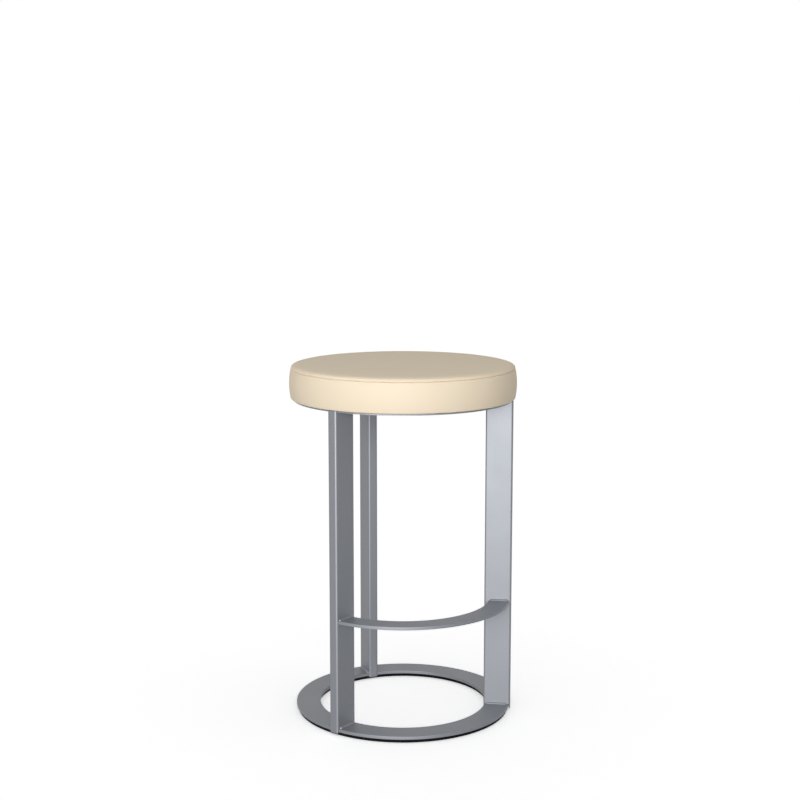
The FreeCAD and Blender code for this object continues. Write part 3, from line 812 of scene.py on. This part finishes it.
def cover_part(name, is_panel):
    """The cover's top panel or its side band, cut apart at the seam and drawn in along it."""
    form = bmesh.new()
    form.from_mesh(cover_mesh)
    for vertex, place, rest_place in zip(form.verts[:], full_shape, rest_shape):
        near = max(0, 1 - from_seam(rest_place) / SEAM_HALF_WIDTH)
        from_axis = Vector((rest_place.x, rest_place.y, 0)).normalized()
        vertex.co = place - from_axis * SEAM_DEPTH * near
    other = []
    for face in form.faces:
        if (face.calc_center_median().z > SEAM_HEIGHT) != is_panel:
            other.append(face)
    bmesh.ops.delete(form, geom=other, context="FACES")
    if not is_panel:
        sew_band_ends(form)
    piece = make_piece(form, name, is_soft=True)
    rounding = piece.modifiers.new("finer_folds", "SUBSURF")
    rounding.levels = 1
    rounding.render_levels = 1
    thicken(piece, "leather_thickness", COVER_THICKNESS, -1)
    return piece


# Polyurethane-coated cloth gives a warm cream with a dull satin, a fine pebble grain pressed into
# it and faint clouds of colour. The pebbles are drawn at 1.5 mm, about twice the real ones.
leather, tree, place = begin_material("cream_faux_leather")
pebble = add_node(tree, "ShaderNodeTexVoronoi", [("Scale", 1 / LEATHER_PEBBLE)], place)
pebble_rise = pebble.outputs["Distance"]
cloud_settings = [("Scale", 1 / LEATHER_CLOUD), ("Detail", 3)]
cloud = add_node(tree, "ShaderNodeTexNoise", cloud_settings, place)
shade_settings = [("Color1", linear("#FDEBCF")), ("Color2", linear("#FFEFD5"))]
shade = add_node(tree, "ShaderNodeMixRGB", shade_settings, [("Fac", cloud)])
rough_settings = [("To Min", 0.58), ("To Max", 0.66)]
rough = add_node(tree, "ShaderNodeMapRange", rough_settings, [("Value", cloud)])
bumps = add_node(tree, "ShaderNodeBump", [("Distance", 0.05 * MM)], [("Height", pebble_rise)])
end_material(
    tree,
    [("IOR", 1.46), ("Specular IOR Level", 0.2)],
    [("Base Color", shade), ("Roughness", rough), ("Normal", bumps)],
)
for name, is_panel, node in (
    ("leather_side_band", False, "cover_side_band"),
    ("leather_top_panel", True, "cover_top_panel"),
):
    part = cover_part(name, is_panel)
    finish_piece(part, leather, "cover_faux_leather", node)
bpy.data.objects.remove(slack_cover)

# The staples. Wide-crown staples of zinc-plated wire, shot up into the board through the cover's
# turned-in edge, and through the dust cover within the plate's opening.
for node in ("cover_staples", "dust_cover_staples"):
    finish_piece(make_piece(copy_of(node), node + "_wire"), zinc, "fastener_zinc", node)

# The dust cover. A disc of thin black spun-bonded cloth, stapled under the board to hide it. It is
# pressed flat between board and plate, and hangs a little slack in the plate's opening.
DUST_RADIUS = 190.5 * MM
DUST_HEIGHT = 598.25 * MM
DUST_THICKNESS = 0.4 * MM
DUST_OPENING = 150 * MM
DUST_SAG = 1.6 * MM
DUST_TENSION = 0.3 * MM
DUST_FOLDS = 18
DUST_FOLD_FADE = 6
DUST_RADIAL_STEPS = 24
DUST_STEPS = 180
DUST_MERGE = 0.01 * MM
DUST_DOT = 1.6 * MM
DUST_FIBRE = 0.7 * MM

dust_form = bmesh.new()
inner_end = dust_form.verts.new((0, 0, DUST_HEIGHT))
outer_end = dust_form.verts.new((DUST_RADIUS, 0, DUST_HEIGHT))
radius_edge = dust_form.edges.new((inner_end, outer_end))
bmesh.ops.subdivide_edges(dust_form, edges=[radius_edge], cuts=DUST_RADIAL_STEPS)
spin_round(dust_form, DUST_STEPS)
bmesh.ops.remove_doubles(dust_form, verts=dust_form.verts[:], dist=DUST_MERGE)
for vertex in dust_form.verts:
    inward = max(0, 1 - math.hypot(vertex.co.x, vertex.co.y) / DUST_OPENING)
    folds = math.cos(DUST_FOLDS * math.atan2(vertex.co.y, vertex.co.x))
    pull = folds * inward * (1 - inward) ** DUST_FOLD_FADE
    vertex.co.z -= DUST_SAG * (1 - (1 - inward) ** 2) + DUST_TENSION * pull
dust = make_piece(dust_form, "dust_cloth_disc", is_soft=True)
thicken(dust, "cloth_thickness", DUST_THICKNESS, 0)

# Spun-bonded polypropylene gives a flat black, felted with fine fibres and pressed in small dots.
dust_paint, tree, place = begin_material("black_spunbond_cloth")
fibre_settings = [("Scale", 1 / DUST_FIBRE), ("Detail", 5)]
fibre = add_node(tree, "ShaderNodeTexNoise", fibre_settings, place)
dot_settings = [("Scale", 1 / DUST_DOT), ("Randomness", 0.15)]
dots = add_node(tree, "ShaderNodeTexVoronoi", dot_settings, place)
dot_rise = dots.outputs["Distance"]
shade_settings = [("Color1", linear("#141416")), ("Color2", linear("#323236"))]
shade = add_node(tree, "ShaderNodeMixRGB", shade_settings, [("Fac", fibre)])
pressed = add_node(tree, "ShaderNodeBump", [("Distance", 0.2 * MM)], [("Height", dot_rise)])
end_material(
    tree,
    [
        ("Roughness", 0.95),
        ("Specular IOR Level", 0.2),
        ("Sheen Weight", 0.2),
        ("Sheen Roughness", 0.5),
    ],
    [("Base Color", shade), ("Normal", pressed)],
)
finish_piece(dust, dust_paint, "dust_cloth", "dust_cover")
